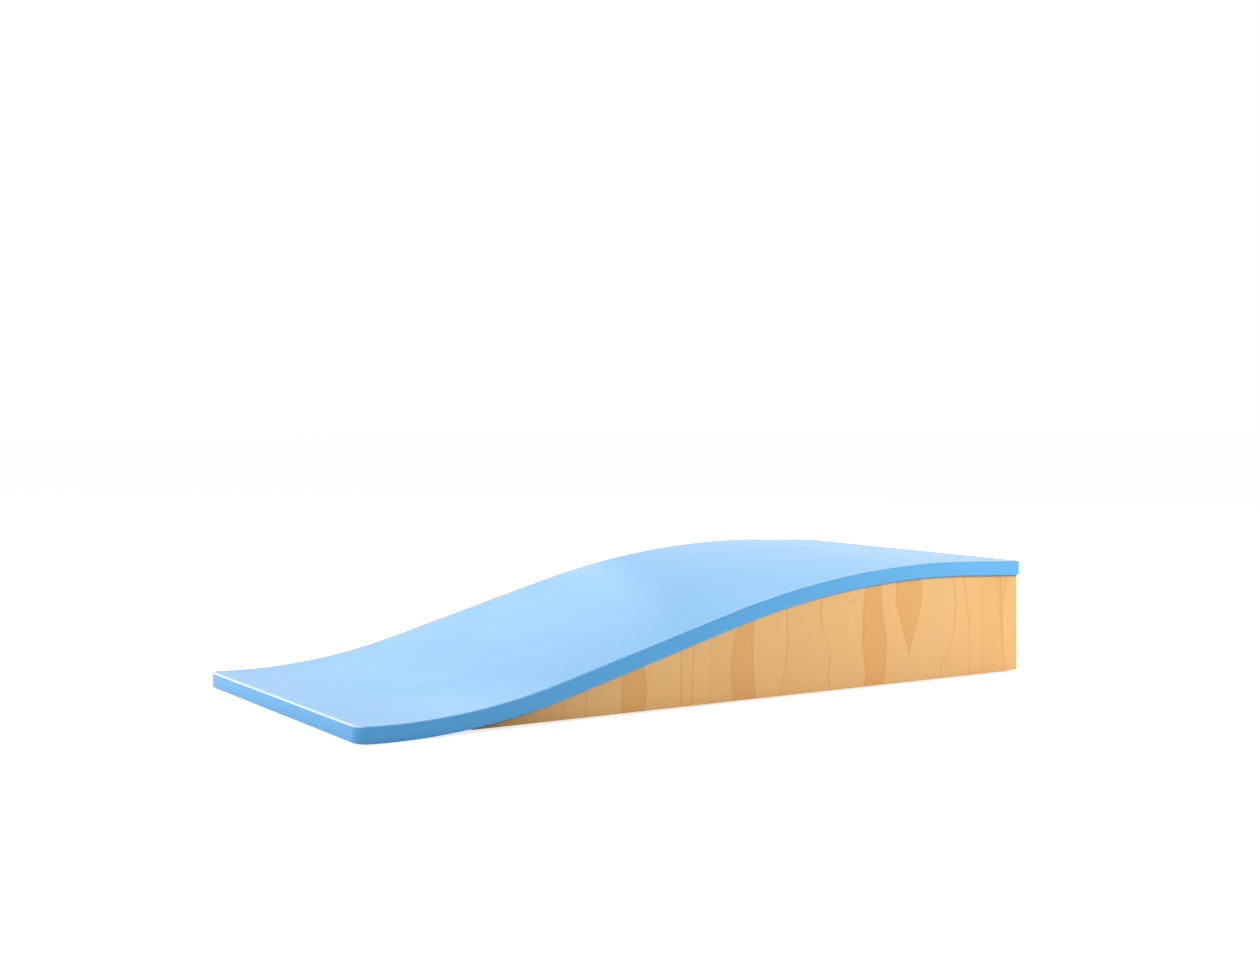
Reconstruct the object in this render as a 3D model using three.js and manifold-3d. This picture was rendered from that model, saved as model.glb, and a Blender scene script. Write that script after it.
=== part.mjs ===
// Transfer board: an S-curved slide board fixed on a hollow plywood wedge.
//
// Millimetres, +Z up. The origin is on the floor at the centre of the footprint, +X points to the
// high end, and the near side is -Y. The board's underside rests on the floor at its low lip, and
// the wedge stands on thin rubber feet.
import * as THREE from "three";
import { mergeVertices } from "three/addons/utils/BufferGeometryUtils.js";
import Module from "manifold-3d";

// ---- The board ----
const BOARD_LENGTH = 750;
const BOARD_WIDTH = 360;
const BOARD_THICKNESS = 15;
const CREST_HEIGHT = 120; // floor to the highest line of the top surface
const TROUGH_SETBACK = 36; // low end to the lowest line of the surface
const CREST_SETBACK = 117; // high end to the highest line of the surface
const LOW_BEND_RADIUS = 605; // top surface of the bend at the foot of the ramp
const RAMP_STRAIGHT = 183; // straight stretch between the two bends
const LANDING_FALL = THREE.MathUtils.degToRad(2.35); // slope of the landing towards the high end
const PLAN_CORNER_RADIUS = 12;
const SIDE_EDGE_ROUND = 2;
const END_EDGE_ROUND = 2.5;

// ---- The wedge under it ----
const SIDE_OVERHANG = 5; // board past each cheek
const END_OVERHANG = 5; // board past the wedge at the high end
const PANEL_THICKNESS = 15; // cheeks, ribs and end panel
const BASE_THICKNESS = 9;
const NOSE_HEIGHT = 1.6; // the cheeks' thin end
const RIB_COUNT = 3;
const TOE_SETBACK = 12; // the toe wedge, behind the cheeks' thin end
const TOE_LENGTH = 65;

// ---- Rubber ----
const FOOT_THICKNESS = 2.5;
const FOOT_DIAMETER = 30;
const FOOT_INSET = 32; // a foot's centre to the wedge's outer faces
const FOOT_EDGE = 0.6;
const GRIP_WIDTH = 16;
const GRIP_THICKNESS = 2.3;
const GRIP_PROUD = 0.3; // how far the strip stands below the board
const GRIP_END_MARGIN = 18;

// ---- Fixings ----
const BLOCK_LENGTH = 40;
const BLOCK_WIDTH = 26;
const BLOCK_HEIGHT = 20;
const SCREW_DIAMETER = 4;
const SCREW_HEAD_DIAMETER = 8;
const SCREW_HEAD_RIM = 0.5;
const SCREW_POINT = 4;
const SCREW_SINK = 0.4; // head below the surface it is driven into
const SCREW_BITE = 9; // into the board
const BASE_SCREW_BITE = 20; // into a rib or the end panel
const BASE_SCREW_SPACING = 200;
const TOE_SCREW_COUNT = 3;
const TOE_SCREW_SPACING = 80;
const TOE_SCREW_SETBACK = 20; // from the toe wedge's thick end
const RECESS_WIDTH = 1.1;
const RECESS_SPAN = 4.4;
const RECESS_DEPTH = 1.8;
const DOWEL_DIAMETER = 6;
const DOWEL_LENGTH = 28;
const DOWEL_IN_CHEEK = 9.5;
const DOWEL_CHAMFER = 0.8;
const DOWELS_PER_JOINT = 2;

// ---- Clearances and smoothness ----
const GAP = 0.3; // between a curved or cut face and the piece that meets it
const CUT_PAST = 1; // how far a cutter passes through a surface
const CURVE_STEP = 15; // longest facet along the bends
const ROUND_STEPS = 3;
const CORNER_STEPS = 6;
const DISC_SIDES = 32;
const SCREW_SIDES = 12;

// ---- Section of the board ----
// Measured from the low end along the floor (x) and up (z). The top surface is an arc that turns
// from the trough up to the ramp, the straight ramp, an arc that turns over the crest, and a
// straight landing. Every other line of the section is the same curve at a depth below the top.
const run = BOARD_LENGTH - TROUGH_SETBACK - CREST_SETBACK;
const troughZ = GRIP_PROUD + BOARD_THICKNESS;
const rise = CREST_HEIGHT - troughZ;
const halfRamp = Math.atan(rise / (run + RAMP_STRAIGHT));
const rampAngle = 2 * halfRamp;
const bendChord = (run - RAMP_STRAIGHT) * Math.cos(halfRamp) + rise * Math.sin(halfRamp);
const bothRadii = bendChord / (2 * Math.sin(halfRamp));
const crestRadius = bothRadii - LOW_BEND_RADIUS;
const crestX = BOARD_LENGTH - CREST_SETBACK;

// The places along x where the curve at this depth changes from one stretch to the next.
function sectionBreaks(depth) {
  const lowEnd = TROUGH_SETBACK + (LOW_BEND_RADIUS + depth) * Math.sin(rampAngle);
  const crestStart = crestX - (crestRadius - depth) * Math.sin(rampAngle);
  const crestEnd = crestX + (crestRadius - depth) * Math.sin(LANDING_FALL);
  return [lowEnd, crestStart, crestEnd];
}

// Height of the curve at this depth below the top surface.
function sectionHeight(x, depth) {
  const [lowEnd, crestStart, crestEnd] = sectionBreaks(depth);
  const lowRadius = LOW_BEND_RADIUS + depth;
  const highRadius = crestRadius - depth;
  const lowCentreZ = troughZ + LOW_BEND_RADIUS;
  const highCentreZ = CREST_HEIGHT - crestRadius;
  if (x <= lowEnd) {
    return lowCentreZ - Math.sqrt(lowRadius ** 2 - (x - TROUGH_SETBACK) ** 2);
  }
  if (x < crestStart) {
    return lowCentreZ - lowRadius * Math.cos(rampAngle) + (x - lowEnd) * Math.tan(rampAngle);
  }
  if (x <= crestEnd) {
    return highCentreZ + Math.sqrt(highRadius ** 2 - (x - crestX) ** 2);
  }
  return highCentreZ + highRadius * Math.cos(LANDING_FALL) - (x - crestEnd) * Math.tan(LANDING_FALL);
}

// Slope of the curve, positive uphill towards +X.
function sectionSlope(x, depth) {
  const [lowEnd, crestStart, crestEnd] = sectionBreaks(depth);
  if (x <= lowEnd) {
    return Math.asin((x - TROUGH_SETBACK) / (LOW_BEND_RADIUS + depth));
  }
  if (x < crestStart) {
    return rampAngle;
  }
  if (x <= crestEnd) {
    return -Math.asin((x - crestX) / (crestRadius - depth));
  }
  return -LANDING_FALL;
}

// The curve from one x to another as points, with short facets on the bends only.
function tracePoints(fromX, toX, depth) {
  const [lowEnd, crestStart, crestEnd] = sectionBreaks(depth);
  const stops = [lowEnd, crestStart, crestEnd].filter((x) => x > fromX + GAP && x < toX - GAP);
  const corners = [fromX, ...stops, toX];
  const points = [new THREE.Vector2(fromX, sectionHeight(fromX, depth))];
  for (let i = 1; i < corners.length; i += 1) {
    const start = corners[i - 1];
    const middle = (start + corners[i]) / 2;
    const bent = middle < lowEnd || (middle > crestStart && middle < crestEnd);
    const steps = bent ? Math.ceil((corners[i] - start) / CURVE_STEP) : 1;
    for (let k = 1; k <= steps; k += 1) {
      const x = start + ((corners[i] - start) * k) / steps;
      points.push(new THREE.Vector2(x, sectionHeight(x, depth)));
    }
  }
  return points;
}

// ---- Sizes worked out from the ones above ----
const seatDepth = BOARD_THICKNESS + GAP; // top surface to what the board lies on
const cheekOuterY = BOARD_WIDTH / 2 - SIDE_OVERHANG;
const innerY = cheekOuterY - PANEL_THICKNESS;
const wedgeEndX = BOARD_LENGTH - END_OVERHANG;
const woodBottomZ = FOOT_THICKNESS;
const ribBottomZ = woodBottomZ + BASE_THICKNESS;
const noseDrop = LOW_BEND_RADIUS + troughZ - woodBottomZ - NOSE_HEIGHT;
const noseX = TROUGH_SETBACK + Math.sqrt((LOW_BEND_RADIUS + seatDepth) ** 2 - noseDrop ** 2);
const toeStartX = noseX + TOE_SETBACK;
const toeEndX = toeStartX + TOE_LENGTH;
const endPanelX = wedgeEndX - PANEL_THICKNESS;
const bay = (endPanelX - toeEndX) / (RIB_COUNT + 1); // middle of one rib to the middle of the next

// ---- Finishes ----
function finish(color, roughness, metalness = 0) {
  return new THREE.MeshStandardMaterial({ color, roughness, metalness });
}
const blueBoard = () => finish(0x9fd0fb, 0.35);
const plywood = () => finish(0xeebd82, 0.6);
const hardwood = () => finish(0xd9a468, 0.65);
const zincedSteel = () => finish(0xb9bcc0, 0.35, 0.9);
const blackRubber = () => finish(0x26282b, 0.85);

// ---- Solids ----
const wasm = await Module();
wasm.setup();

function toSolid(geometry) {
  const bare = geometry.clone();
  bare.deleteAttribute("normal");
  bare.deleteAttribute("uv");
  const merged = mergeVertices(bare);
  return new wasm.Manifold(
    new wasm.Mesh({
      numProp: 3,
      vertProperties: new Float32Array(merged.attributes.position.array),
      triVerts: new Uint32Array(merged.index.array),
    })
  );
}

function toGeometry(solid) {
  const mesh = solid.getMesh();
  const geometry = new THREE.BufferGeometry();
  geometry.setAttribute("position", new THREE.BufferAttribute(mesh.vertProperties, 3));
  geometry.setIndex(new THREE.BufferAttribute(mesh.triVerts, 1));
  const faceted = geometry.toNonIndexed();
  faceted.computeVertexNormals();
  return faceted;
}

function cut(geometry, cutters) {
  const solid = cutters.reduce((left, cutter) => left.subtract(toSolid(cutter)), toSolid(geometry));
  return toGeometry(solid);
}

function box(fromX, toX, fromY, toY, fromZ, toZ) {
  const geometry = new THREE.BoxGeometry(toX - fromX, toY - fromY, toZ - fromZ);
  return geometry.translate((fromX + toX) / 2, (fromY + toY) / 2, (fromZ + toZ) / 2);
}

// A section in x and z, made into a solid that runs across the object from one y to the other.
function acrossSolid(points, fromY, toY) {
  const geometry = new THREE.ExtrudeGeometry(new THREE.Shape(points), {
    depth: toY - fromY,
    bevelEnabled: false,
  });
  return geometry.rotateX(Math.PI / 2).translate(0, toY, 0);
}

// Points of the arc that rounds the corner between two straight edges.
function roundedCorner(before, corner, after, radius, steps) {
  const inward = before.clone().sub(corner).normalize();
  const outward = after.clone().sub(corner).normalize();
  const half = Math.acos(inward.dot(outward)) / 2;
  const toCentre = inward.clone().add(outward).normalize().multiplyScalar(radius / Math.sin(half));
  const centre = corner.clone().add(toCentre);
  const first = corner.clone().addScaledVector(inward, radius / Math.tan(half)).sub(centre);
  const turn = Math.sign(inward.cross(outward)) * -1 * (Math.PI - 2 * half);
  const points = [];
  for (let i = 0; i <= steps; i += 1) {
    const spoke = first.clone().rotateAround(new THREE.Vector2(0, 0), (turn * i) / steps);
    points.push(centre.clone().add(spoke));
  }
  return points;
}

// ---- Screws and dowels ----
// A countersunk screw about the z axis, its head's face at z = 0 and its point up. Grown by a
// clearance, the same profile is the hole that it sits in.
function screwTurned(length, grow = 0) {
  const shank = SCREW_DIAMETER / 2 + grow;
  const head = SCREW_HEAD_DIAMETER / 2 + grow;
  const faceZ = grow > 0 ? -(SCREW_SINK + CUT_PAST) : 0;
  const profile = [
    new THREE.Vector2(0, faceZ),
    new THREE.Vector2(head, faceZ),
    new THREE.Vector2(head, SCREW_HEAD_RIM),
    new THREE.Vector2(shank, SCREW_HEAD_RIM + head - shank),
    new THREE.Vector2(shank, length - SCREW_POINT),
    new THREE.Vector2(grow, length + grow),
    new THREE.Vector2(0, length + grow),
  ];
  const points = grow > 0 ? profile : profile.slice(0, -1);
  return new THREE.LatheGeometry(points, SCREW_SIDES).rotateX(Math.PI / 2);
}

function screwGeometry(length) {
  const slot = RECESS_WIDTH / 2;
  const span = RECESS_SPAN / 2;
  return cut(screwTurned(length), [
    box(-span, span, -slot, slot, -CUT_PAST, RECESS_DEPTH),
    box(-slot, slot, -span, span, -CUT_PAST, RECESS_DEPTH),
  ]);
}

function screwHole(length, x, y, z) {
  return screwTurned(length, GAP).translate(x, y, z);
}

// A dowel along y, and the plain hole for a stretch of it.
function dowelGeometry() {
  const r = DOWEL_DIAMETER / 2;
  const half = DOWEL_LENGTH / 2;
  const profile = [
    new THREE.Vector2(0, -half),
    new THREE.Vector2(r - DOWEL_CHAMFER, -half),
    new THREE.Vector2(r, DOWEL_CHAMFER - half),
    new THREE.Vector2(r, half - DOWEL_CHAMFER),
    new THREE.Vector2(r - DOWEL_CHAMFER, half),
    new THREE.Vector2(0, half),
  ];
  return new THREE.LatheGeometry(profile, SCREW_SIDES);
}

function dowelHole(x, fromY, toY, z) {
  const r = DOWEL_DIAMETER / 2 + GAP;
  const hole = new THREE.CylinderGeometry(r, r, toY - fromY, SCREW_SIDES);
  return hole.translate(x, (fromY + toY) / 2, z);
}

// ---- Uprights: the ribs and the end panel, each with its dowels and base screws ----
function uprightAt(name, middleX) {
  const topZ = sectionHeight(middleX, seatDepth);
  const height = topZ - ribBottomZ;
  const dowelZ = Array.from(
    { length: DOWELS_PER_JOINT },
    (_, i) => ribBottomZ + (height * (i + 1)) / (DOWELS_PER_JOINT + 1)
  );
  return { name, middleX, dowelZ };
}

const uprights = [
  ...Array.from({ length: RIB_COUNT }, (_, i) => uprightAt(`rib_${i + 1}`, toeEndX + bay * (i + 1))),
  uprightAt("end_panel", wedgeEndX - PANEL_THICKNESS / 2),
];

const baseScrewLength = BASE_THICKNESS - SCREW_SINK + BASE_SCREW_BITE;
const baseScrewZ = woodBottomZ + SCREW_SINK;
const baseScrews = uprights.flatMap((upright) =>
  [-1, 1].map((side) => ({ x: upright.middleX, y: (side * BASE_SCREW_SPACING) / 2 }))
);

const toeScrewX = toeEndX - TOE_SCREW_SETBACK;
const toeScrewLength = sectionHeight(toeScrewX, BOARD_THICKNESS) - woodBottomZ - SCREW_SINK + SCREW_BITE;
const toeScrewY = Array.from(
  { length: TOE_SCREW_COUNT },
  (_, i) => (i - (TOE_SCREW_COUNT - 1) / 2) * TOE_SCREW_SPACING
);

// ---- Fixing blocks: one to a bay behind the first rib, on each side ----
// Each block lies square to the board's underside. Its frame has its origin on the underside.
const blockStations = Array.from({ length: RIB_COUNT }, (_, i) => toeEndX + bay * (i + 1.5));
const blockSagitta = crestRadius - Math.sqrt(crestRadius ** 2 - (BLOCK_LENGTH / 2) ** 2);
const blockTopZ = -(GAP + blockSagitta);
const blockBottomZ = blockTopZ - BLOCK_HEIGHT;
const blockScrewZ = blockBottomZ + SCREW_SINK;
const blockScrewLength = SCREW_BITE - blockScrewZ;

function blockFrame(x, side) {
  const turn = new THREE.Matrix4().makeRotationY(-sectionSlope(x, BOARD_THICKNESS));
  const y = side * (innerY - BLOCK_WIDTH / 2);
  return turn.setPosition(x, y, sectionHeight(x, BOARD_THICKNESS));
}

// ---- Pieces ----
function boardGeometry() {
  const top = tracePoints(0, BOARD_LENGTH, 0);
  const bottom = tracePoints(0, BOARD_LENGTH, BOARD_THICKNESS).reverse();
  const corners = [top[0], top[top.length - 1], bottom[0], bottom[bottom.length - 1]];
  const rounded = (before, corner, after) =>
    roundedCorner(before, corner, after, END_EDGE_ROUND, ROUND_STEPS);
  const outline = [
    ...rounded(corners[3], corners[0], top[1]),
    ...top.slice(1, -1),
    ...rounded(top[top.length - 2], corners[1], corners[2]),
    ...rounded(corners[1], corners[2], bottom[1]),
    ...bottom.slice(1, -1),
    ...rounded(bottom[bottom.length - 2], corners[3], corners[0]),
  ];
  const section = new THREE.ExtrudeGeometry(new THREE.Shape(outline), {
    depth: BOARD_WIDTH - 2 * SIDE_EDGE_ROUND,
    bevelThickness: SIDE_EDGE_ROUND,
    bevelSize: SIDE_EDGE_ROUND,
    bevelOffset: -SIDE_EDGE_ROUND,
    bevelSegments: ROUND_STEPS,
  });
  section.rotateX(Math.PI / 2).translate(0, BOARD_WIDTH / 2 - SIDE_EDGE_ROUND, 0);

  const half = BOARD_WIDTH / 2;
  const plan = [
    new THREE.Vector2(0, -half),
    new THREE.Vector2(BOARD_LENGTH, -half),
    new THREE.Vector2(BOARD_LENGTH, half),
    new THREE.Vector2(0, half),
  ];
  const planOutline = plan.flatMap((corner, i) => {
    const before = plan[(i + plan.length - 1) % plan.length];
    const after = plan[(i + 1) % plan.length];
    return roundedCorner(before, corner, after, PLAN_CORNER_RADIUS, CORNER_STEPS);
  });
  const blank = new THREE.ExtrudeGeometry(new THREE.Shape(planOutline), {
    depth: CREST_HEIGHT + 2 * CUT_PAST,
    bevelEnabled: false,
  });
  blank.translate(0, 0, -CUT_PAST);
  const body = toGeometry(toSolid(section).intersect(toSolid(blank)));

  const grooveX = GRIP_WIDTH / 2 + GAP;
  const grooveY = BOARD_WIDTH / 2 - GRIP_END_MARGIN + GAP;
  const groove = box(
    TROUGH_SETBACK - grooveX, TROUGH_SETBACK + grooveX,
    -grooveY, grooveY,
    -CUT_PAST, GRIP_THICKNESS
  );
  const blockHoles = blockStations.flatMap((x) =>
    [-1, 1].map((side) => screwHole(blockScrewLength, 0, 0, blockScrewZ).applyMatrix4(blockFrame(x, side)))
  );
  const toeHoles = toeScrewY.map((y) => screwHole(toeScrewLength, toeScrewX, y, baseScrewZ));
  return cut(body, [groove, ...blockHoles, ...toeHoles]);
}

function gripGeometry() {
  const x = GRIP_WIDTH / 2;
  const y = BOARD_WIDTH / 2 - GRIP_END_MARGIN;
  return box(TROUGH_SETBACK - x, TROUGH_SETBACK + x, -y, y, 0, GRIP_THICKNESS);
}

function cheekGeometry(side) {
  const outline = [
    new THREE.Vector2(noseX, woodBottomZ),
    new THREE.Vector2(wedgeEndX, woodBottomZ),
    ...tracePoints(noseX, wedgeEndX, seatDepth).reverse(),
  ];
  const fromY = side < 0 ? -cheekOuterY : innerY;
  const panel = acrossSolid(outline, fromY, fromY + PANEL_THICKNESS);
  const holeEndY = side * (innerY + DOWEL_IN_CHEEK + GAP);
  const mouthY = side * (innerY - CUT_PAST);
  const holes = uprights.flatMap((upright) =>
    upright.dowelZ.map((z) =>
      dowelHole(upright.middleX, Math.min(holeEndY, mouthY), Math.max(holeEndY, mouthY), z)
    )
  );
  return cut(panel, holes);
}

function uprightGeometry(upright) {
  const fromX = upright.middleX - PANEL_THICKNESS / 2;
  const toX = upright.middleX + PANEL_THICKNESS / 2;
  const outline = [
    new THREE.Vector2(fromX, ribBottomZ),
    new THREE.Vector2(toX, ribBottomZ),
    new THREE.Vector2(toX, sectionHeight(toX, seatDepth)),
    new THREE.Vector2(fromX, sectionHeight(fromX, seatDepth)),
  ];
  const panel = acrossSolid(outline, -innerY, innerY);
  const deep = innerY - (DOWEL_LENGTH - DOWEL_IN_CHEEK) - GAP;
  const dowelHoles = upright.dowelZ.flatMap((z) => [
    dowelHole(upright.middleX, -innerY - CUT_PAST, -deep, z),
    dowelHole(upright.middleX, deep, innerY + CUT_PAST, z),
  ]);
  const screwHoles = baseScrews
    .filter((screw) => screw.x === upright.middleX)
    .map((screw) => screwHole(baseScrewLength, screw.x, screw.y, baseScrewZ));
  return cut(panel, [...dowelHoles, ...screwHoles]);
}

function toeGeometry() {
  const outline = [
    new THREE.Vector2(toeStartX, woodBottomZ),
    new THREE.Vector2(toeEndX, woodBottomZ),
    ...tracePoints(toeStartX, toeEndX, seatDepth).reverse(),
  ];
  const holes = toeScrewY.map((y) => screwHole(toeScrewLength, toeScrewX, y, baseScrewZ));
  return cut(acrossSolid(outline, -innerY, innerY), holes);
}

function baseGeometry() {
  const panel = box(toeEndX, wedgeEndX, -innerY, innerY, woodBottomZ, ribBottomZ);
  return cut(panel, baseScrews.map((screw) => screwHole(baseScrewLength, screw.x, screw.y, baseScrewZ)));
}

function blockGeometry() {
  const x = BLOCK_LENGTH / 2;
  const y = BLOCK_WIDTH / 2;
  const hole = screwHole(blockScrewLength, 0, 0, blockScrewZ);
  return cut(box(-x, x, -y, y, blockBottomZ, blockTopZ), [hole]);
}

function footGeometry() {
  const r = FOOT_DIAMETER / 2;
  const profile = [
    new THREE.Vector2(0, 0),
    new THREE.Vector2(r - FOOT_EDGE, 0),
    new THREE.Vector2(r, FOOT_EDGE),
    new THREE.Vector2(r, FOOT_THICKNESS),
    new THREE.Vector2(0, FOOT_THICKNESS),
  ];
  return new THREE.LatheGeometry(profile, DISC_SIDES).rotateX(Math.PI / 2);
}

// ---- Assembly ----
const transferBoard = new THREE.Group();
const assembly = new THREE.Group();
assembly.position.set(-BOARD_LENGTH / 2, 0, 0);
transferBoard.add(assembly);

function addPiece(group, name, geometry, material) {
  const mesh = new THREE.Mesh(geometry, material);
  mesh.name = name;
  group.add(mesh);
  return mesh;
}

const sides = [
  { word: "near", sign: -1 },
  { word: "far", sign: 1 },
];

function addBoard() {
  addPiece(assembly, "transfer_board", boardGeometry(), blueBoard());
  addPiece(assembly, "grip_strip", gripGeometry(), blackRubber());
}

function addWedge() {
  for (const side of sides) {
    addPiece(assembly, `side_panel_${side.word}`, cheekGeometry(side.sign), plywood());
  }
  for (const upright of uprights) {
    addPiece(assembly, upright.name, uprightGeometry(upright), plywood());
  }
  addPiece(assembly, "toe_wedge", toeGeometry(), hardwood());
  addPiece(assembly, "base_panel", baseGeometry(), plywood());
}

function addDowels() {
  for (const side of sides) {
    const middleY = innerY + DOWEL_IN_CHEEK - DOWEL_LENGTH / 2;
    let number = 1;
    for (const upright of uprights) {
      for (const z of upright.dowelZ) {
        const dowel = addPiece(assembly, `dowel_${side.word}_${number}`, dowelGeometry(), hardwood());
        dowel.position.set(upright.middleX, side.sign * middleY, z);
        number += 1;
      }
    }
  }
}

function addBlocks() {
  for (const side of sides) {
    blockStations.forEach((x, i) => {
      const fixing = new THREE.Group();
      fixing.applyMatrix4(blockFrame(x, side.sign));
      assembly.add(fixing);
      addPiece(fixing, `fixing_block_${side.word}_${i + 1}`, blockGeometry(), hardwood());
      const screw = addPiece(
        fixing, `board_screw_${side.word}_${i + 1}`, screwGeometry(blockScrewLength), zincedSteel()
      );
      screw.position.z = blockScrewZ;
    });
  }
}

function addBottomScrews() {
  toeScrewY.forEach((y, i) => {
    const screw = addPiece(assembly, `toe_screw_${i + 1}`, screwGeometry(toeScrewLength), zincedSteel());
    screw.position.set(toeScrewX, y, baseScrewZ);
  });
  baseScrews.forEach((place, i) => {
    const screw = addPiece(assembly, `base_screw_${i + 1}`, screwGeometry(baseScrewLength), zincedSteel());
    screw.position.set(place.x, place.y, baseScrewZ);
  });
}

function addFeet() {
  const frontX = toeStartX + FOOT_DIAMETER / 2 + GAP;
  const middleX = uprights[Math.floor(RIB_COUNT / 2)].middleX;
  const footX = [frontX, middleX, wedgeEndX - FOOT_INSET];
  const footY = cheekOuterY - FOOT_INSET;
  const places = footX.flatMap((x) => [new THREE.Vector2(x, -footY), new THREE.Vector2(x, footY)]);
  places.forEach((place, i) => {
    const foot = addPiece(assembly, `foot_${i + 1}`, footGeometry(), blackRubber());
    foot.position.set(place.x, place.y, 0);
  });
}

addBoard();
addWedge();
addDowels();
addBlocks();
addBottomScrews();
addFeet();

export default transferBoard;
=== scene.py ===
import math

import bmesh
import bpy
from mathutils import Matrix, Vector


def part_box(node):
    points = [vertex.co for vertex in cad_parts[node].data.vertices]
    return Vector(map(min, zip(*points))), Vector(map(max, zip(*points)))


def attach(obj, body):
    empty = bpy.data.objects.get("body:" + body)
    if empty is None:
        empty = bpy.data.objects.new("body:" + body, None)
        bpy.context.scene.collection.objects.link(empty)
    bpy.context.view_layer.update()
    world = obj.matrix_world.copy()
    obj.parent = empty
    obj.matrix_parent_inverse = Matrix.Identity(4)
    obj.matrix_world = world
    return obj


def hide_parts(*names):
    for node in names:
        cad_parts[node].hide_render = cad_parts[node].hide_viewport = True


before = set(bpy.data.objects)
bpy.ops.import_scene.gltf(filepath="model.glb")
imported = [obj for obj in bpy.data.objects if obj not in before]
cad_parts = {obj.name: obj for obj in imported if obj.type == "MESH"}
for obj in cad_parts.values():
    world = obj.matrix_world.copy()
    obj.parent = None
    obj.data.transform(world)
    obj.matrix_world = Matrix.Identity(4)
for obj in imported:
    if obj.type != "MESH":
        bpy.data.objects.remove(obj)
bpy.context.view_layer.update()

# ---------------------------------------------------------------------------
# Sizes, in metres. The frame has its origin on the floor under the middle of
# the board, +X towards the high end and -Y towards the near side.
# ---------------------------------------------------------------------------
MM = 0.001
board_low, board_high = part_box("transfer_board")
BOARD_LENGTH = board_high.x - board_low.x
BOARD_WIDTH = board_high.y - board_low.y
BOARD_THICKNESS = 15 * MM
CREST_HEIGHT = 120 * MM
TROUGH_SETBACK = 36 * MM
CREST_SETBACK = 117 * MM
LOW_BEND_RADIUS = 605 * MM
RAMP_STRAIGHT = 183 * MM
LANDING_FALL = math.radians(2.35)
GRIP_PROUD = 0.3 * MM
PLAN_CORNER_RADIUS = 12 * MM
SIDE_EDGE_ROUND = 1.8 * MM
END_EDGE_ROUND = 1.9 * MM
PANEL_THICKNESS = 15 * MM
PANEL_PLIES = 11
BASE_PLIES = 7
CAD_EDGE_EASE = 0.5 * MM
CHEEK_EDGE_EASE = 0.6 * MM
# Depth of the painted contact shadow along the cheeks' top edge, just under the board.
CONTACT_SHADE_DEPTH = 2.2 * MM
# How far from the cheeks' thin tip the painted shade reaches; it stands in for the shade under the
# board's low end.
TIP_SHADE_REACH = 200 * MM
FOOT_RIM = 0.6 * MM
FOOT_GROOVE = 0.5 * MM
GRIP_RIBS = 7
GRIP_RIB_DEPTH = 0.5 * MM


# ---------------------------------------------------------------------------
# Section of the board: x runs from the low end, z up from the floor. The top
# surface is an arc, the straight ramp, an arc over the crest and a straight
# landing; every other line is the same curve at a depth below the top.
# ---------------------------------------------------------------------------
class Section:
    """The board's line from the low end to the high end."""

    def __init__(self):
        run = BOARD_LENGTH - TROUGH_SETBACK - CREST_SETBACK
        self.trough_z = GRIP_PROUD + BOARD_THICKNESS
        rise = CREST_HEIGHT - self.trough_z
        half = math.atan(rise / (run + RAMP_STRAIGHT))
        self.ramp = 2 * half
        chord = (run - RAMP_STRAIGHT) * math.cos(half) + rise * math.sin(half)
        self.crest_radius = chord / (2 * math.sin(half)) - LOW_BEND_RADIUS
        self.crest_x = BOARD_LENGTH - CREST_SETBACK

    def breaks(self, depth):
        """Where the low bend ends, the crest bend starts and the crest bend ends."""
        low = LOW_BEND_RADIUS + depth
        high = self.crest_radius - depth
        low_end = TROUGH_SETBACK + low * math.sin(self.ramp)
        crest_start = self.crest_x - high * math.sin(self.ramp)
        crest_end = self.crest_x + high * math.sin(LANDING_FALL)
        return low_end, crest_start, crest_end

    def height(self, x, depth):
        """Height above the floor of the line that runs at this depth below the top."""
        low_end, crest_start, crest_end = self.breaks(depth)
        low = LOW_BEND_RADIUS + depth
        high = self.crest_radius - depth
        low_centre = self.trough_z + LOW_BEND_RADIUS
        high_centre = CREST_HEIGHT - self.crest_radius
        if x <= low_end:
            return low_centre - math.sqrt(low**2 - (x - TROUGH_SETBACK) ** 2)
        if x < crest_start:
            return low_centre - low * math.cos(self.ramp) + (x - low_end) * math.tan(self.ramp)
        if x <= crest_end:
            return high_centre + math.sqrt(high**2 - (x - self.crest_x) ** 2)
        return high_centre + high * math.cos(LANDING_FALL) - (x - crest_end) * math.tan(LANDING_FALL)


section = Section()


# ---------------------------------------------------------------------------
# Node helpers
# ---------------------------------------------------------------------------
def srgb(red, green, blue):
    """A colour as a painter reads it, 0 to 255, turned into linear light."""
    def linear(value):
        value /= 255
        return value / 12.92 if value <= 0.04045 else ((value + 0.055) / 1.055) ** 2.4
    return (linear(red), linear(green), linear(blue), 1.0)


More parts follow.
